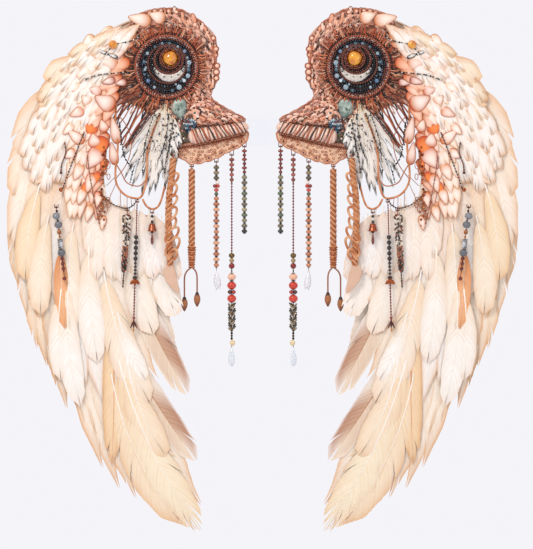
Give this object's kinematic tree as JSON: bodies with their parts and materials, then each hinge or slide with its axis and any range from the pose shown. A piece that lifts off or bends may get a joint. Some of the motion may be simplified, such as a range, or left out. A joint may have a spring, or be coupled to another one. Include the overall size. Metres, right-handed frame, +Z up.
{
  "type": "fairy wings",
  "caption": "Mirrored pair of feathered costume wings with beaded rosettes, crochet, horn and swinging bead strands, folding on a clear back yoke.",
  "frame": {"origin": "middle of the clear yoke plate's back face, between the two wings' beaks", "axes": "+Z up along the wings' length, +X towards the wearer's left wing as the decorated face is seen, +Y out of the back face towards the wearer"},
  "size_m": [0.6688, 0.039, 0.6823],
  "materials": {
    "yoke_plate": "clear polycarbonate",
    "hinge_pin": "polished steel",
    "wing_hinge_leaf": "brushed nickel plate",
    "leaf_rivets": "copper, domed heads",
    "wing_frame": "galvanised craft wire",
    "back_panel": "wool felt, ivory",
    "primary_feathers": "ivory feathers with peach and tan edges",
    "secondary_feathers": "white and peach feathers",
    "covert_feathers": "short white feathers",
    "shell_petals": "pearly shell with peach rims",
    "crochet_panel": "rust and copper crochet with dark thread",
    "rosette_disc": "dark felt sewn over with seed beads",
    "rosette_rings": "copper cord",
    "amber_cabochon": "polished amber",
    "green_stone": "tumbled grey-green stone",
    "wrapped_horn": "ribbed horn bound with copper thread",
    "lace_frill": "peach crochet lace",
    "copper_loops": "waxed copper cord",
    "fan_feathers": "white feathers with black edges",
    "looped_rope": "satin twisted rope",
    "leather_tag": "dusty peach leather",
    "twisted_rope": "satin twisted rope",
    "pod_tails": "seed pods on waxed cord",
    "rose_strand": "rose pearls and a quartz crystal",
    "coral_strand": "coral, seed and bronze beads",
    "bronze_strand": "olive bronze pearls",
    "striped_strand": "black, cream and rust beads",
    "garnet_strand": "near-black and garnet beads",
    "grey_strand": "grey glass beads and copper",
    "bell_drop": "copper bell charm and beads"
  },
  "bodies": {
    "yoke": {"yoke_plate": "yoke_plate", "hinge_pin_left": "hinge_pin", "hinge_pin_right": "hinge_pin"},
    "wing_left": {"wing_hinge_leaf_left": "wing_hinge_leaf", "leaf_rivets_left": "leaf_rivets", "wing_frame_left": "wing_frame", "back_panel_left": "back_panel", "primary_feathers_left": "primary_feathers", "secondary_feathers_left": "secondary_feathers", "covert_feathers_left": "covert_feathers", "shell_petals_left": "shell_petals", "crochet_panel_left": "crochet_panel", "rosette_disc_left": "rosette_disc", "rosette_rings_left": "rosette_rings", "amber_cabochon_left": "amber_cabochon", "green_stone_left": "green_stone", "wrapped_horn_left": "wrapped_horn", "lace_frill_left": "lace_frill", "copper_loops_left": "copper_loops", "fan_feathers_left": "fan_feathers"},
    "looped_rope_left": {"looped_rope_left": "looped_rope", "leather_tag_left": "leather_tag"},
    "twisted_rope_left": {"twisted_rope_left": "twisted_rope", "pod_tails_left": "pod_tails"},
    "rose_strand_left": {"rose_strand_left": "rose_strand"},
    "coral_strand_left": {"coral_strand_left": "coral_strand"},
    "bronze_strand_left": {"bronze_strand_left": "bronze_strand"},
    "striped_strand_left": {"striped_strand_left": "striped_strand"},
    "garnet_strand_left": {"garnet_strand_left": "garnet_strand"},
    "grey_strand_left": {"grey_strand_left": "grey_strand"},
    "bell_drop_left": {"bell_drop_left": "bell_drop"},
    "wing_right": {"wing_hinge_leaf_right": "wing_hinge_leaf", "leaf_rivets_right": "leaf_rivets", "wing_frame_right": "wing_frame", "back_panel_right": "back_panel", "primary_feathers_right": "primary_feathers", "secondary_feathers_right": "secondary_feathers", "covert_feathers_right": "covert_feathers", "shell_petals_right": "shell_petals", "crochet_panel_right": "crochet_panel", "rosette_disc_right": "rosette_disc", "rosette_rings_right": "rosette_rings", "amber_cabochon_right": "amber_cabochon", "green_stone_right": "green_stone", "wrapped_horn_right": "wrapped_horn", "lace_frill_right": "lace_frill", "copper_loops_right": "copper_loops", "fan_feathers_right": "fan_feathers"},
    "looped_rope_right": {"looped_rope_right": "looped_rope", "leather_tag_right": "leather_tag"},
    "twisted_rope_right": {"twisted_rope_right": "twisted_rope", "pod_tails_right": "pod_tails"},
    "rose_strand_right": {"rose_strand_right": "rose_strand"},
    "coral_strand_right": {"coral_strand_right": "coral_strand"},
    "bronze_strand_right": {"bronze_strand_right": "bronze_strand"},
    "striped_strand_right": {"striped_strand_right": "striped_strand"},
    "garnet_strand_right": {"garnet_strand_right": "garnet_strand"},
    "grey_strand_right": {"grey_strand_right": "grey_strand"},
    "bell_drop_right": {"bell_drop_right": "bell_drop"}
  },
  "joints": [
    {"name": "wing_fold_left", "type": "hinge", "parent": "yoke", "child": "wing_left", "pos_m": [-0.024, -0.0065, 0], "axis": [0, 0, 1], "range_deg": [-20, 60]},
    {"name": "looped_rope_swing_left", "type": "hinge", "parent": "wing_left", "child": "looped_rope_left", "pos_m": [-0.116, -0.033, -0.031], "axis": [1, 0, 0], "range_deg": [-60, 0]},
    {"name": "twisted_rope_swing_left", "type": "hinge", "parent": "wing_left", "child": "twisted_rope_left", "pos_m": [-0.092, -0.017, -0.045], "axis": [1, 0, 0], "range_deg": [-60, 45]},
    {"name": "rose_strand_swing_left", "type": "hinge", "parent": "wing_left", "child": "rose_strand_left", "pos_m": [-0.06, -0.017, -0.039], "axis": [1, 0, 0], "range_deg": [-60, 45]},
    {"name": "coral_strand_swing_left", "type": "hinge", "parent": "wing_left", "child": "coral_strand_left", "pos_m": [-0.04, -0.017, -0.03], "axis": [1, 0, 0], "range_deg": [-60, 45]},
    {"name": "bronze_strand_swing_left", "type": "hinge", "parent": "wing_left", "child": "bronze_strand_left", "pos_m": [-0.0235, -0.017, -0.019], "axis": [1, 0, 0], "range_deg": [-60, 45]},
    {"name": "striped_strand_swing_left", "type": "hinge", "parent": "wing_left", "child": "striped_strand_left", "pos_m": [-0.1755, -0.033, -0.102], "axis": [1, 0, 0], "range_deg": [-60, 0]},
    {"name": "garnet_strand_swing_left", "type": "hinge", "parent": "wing_left", "child": "garnet_strand_left", "pos_m": [-0.163, -0.033, -0.091], "axis": [1, 0, 0], "range_deg": [-60, 0]},
    {"name": "grey_strand_swing_left", "type": "hinge", "parent": "wing_left", "child": "grey_strand_left", "pos_m": [-0.268, -0.033, -0.098], "axis": [1, 0, 0], "range_deg": [-60, 0]},
    {"name": "bell_drop_swing_left", "type": "hinge", "parent": "wing_left", "child": "bell_drop_left", "pos_m": [-0.1435, -0.033, -0.105], "axis": [1, 0, 0], "range_deg": [-60, 0]},
    {"name": "wing_fold_right", "type": "hinge", "parent": "yoke", "child": "wing_right", "pos_m": [0.024, -0.0065, 0], "axis": [0, 0, -1], "range_deg": [-20, 60]},
    {"name": "looped_rope_swing_right", "type": "hinge", "parent": "wing_right", "child": "looped_rope_right", "pos_m": [0.116, -0.033, -0.031], "axis": [1, 0, 0], "range_deg": [-60, 0]},
    {"name": "twisted_rope_swing_right", "type": "hinge", "parent": "wing_right", "child": "twisted_rope_right", "pos_m": [0.092, -0.017, -0.045], "axis": [1, 0, 0], "range_deg": [-60, 45]},
    {"name": "rose_strand_swing_right", "type": "hinge", "parent": "wing_right", "child": "rose_strand_right", "pos_m": [0.06, -0.017, -0.039], "axis": [1, 0, 0], "range_deg": [-60, 45]},
    {"name": "coral_strand_swing_right", "type": "hinge", "parent": "wing_right", "child": "coral_strand_right", "pos_m": [0.04, -0.017, -0.03], "axis": [1, 0, 0], "range_deg": [-60, 45]},
    {"name": "bronze_strand_swing_right", "type": "hinge", "parent": "wing_right", "child": "bronze_strand_right", "pos_m": [0.0235, -0.017, -0.019], "axis": [1, 0, 0], "range_deg": [-60, 45]},
    {"name": "striped_strand_swing_right", "type": "hinge", "parent": "wing_right", "child": "striped_strand_right", "pos_m": [0.1755, -0.033, -0.102], "axis": [1, 0, 0], "range_deg": [-60, 0]},
    {"name": "garnet_strand_swing_right", "type": "hinge", "parent": "wing_right", "child": "garnet_strand_right", "pos_m": [0.163, -0.033, -0.091], "axis": [1, 0, 0], "range_deg": [-60, 0]},
    {"name": "grey_strand_swing_right", "type": "hinge", "parent": "wing_right", "child": "grey_strand_right", "pos_m": [0.268, -0.033, -0.098], "axis": [1, 0, 0], "range_deg": [-60, 0]},
    {"name": "bell_drop_swing_right", "type": "hinge", "parent": "wing_right", "child": "bell_drop_right", "pos_m": [0.1435, -0.033, -0.105], "axis": [1, 0, 0], "range_deg": [-60, 0]}
  ]
}
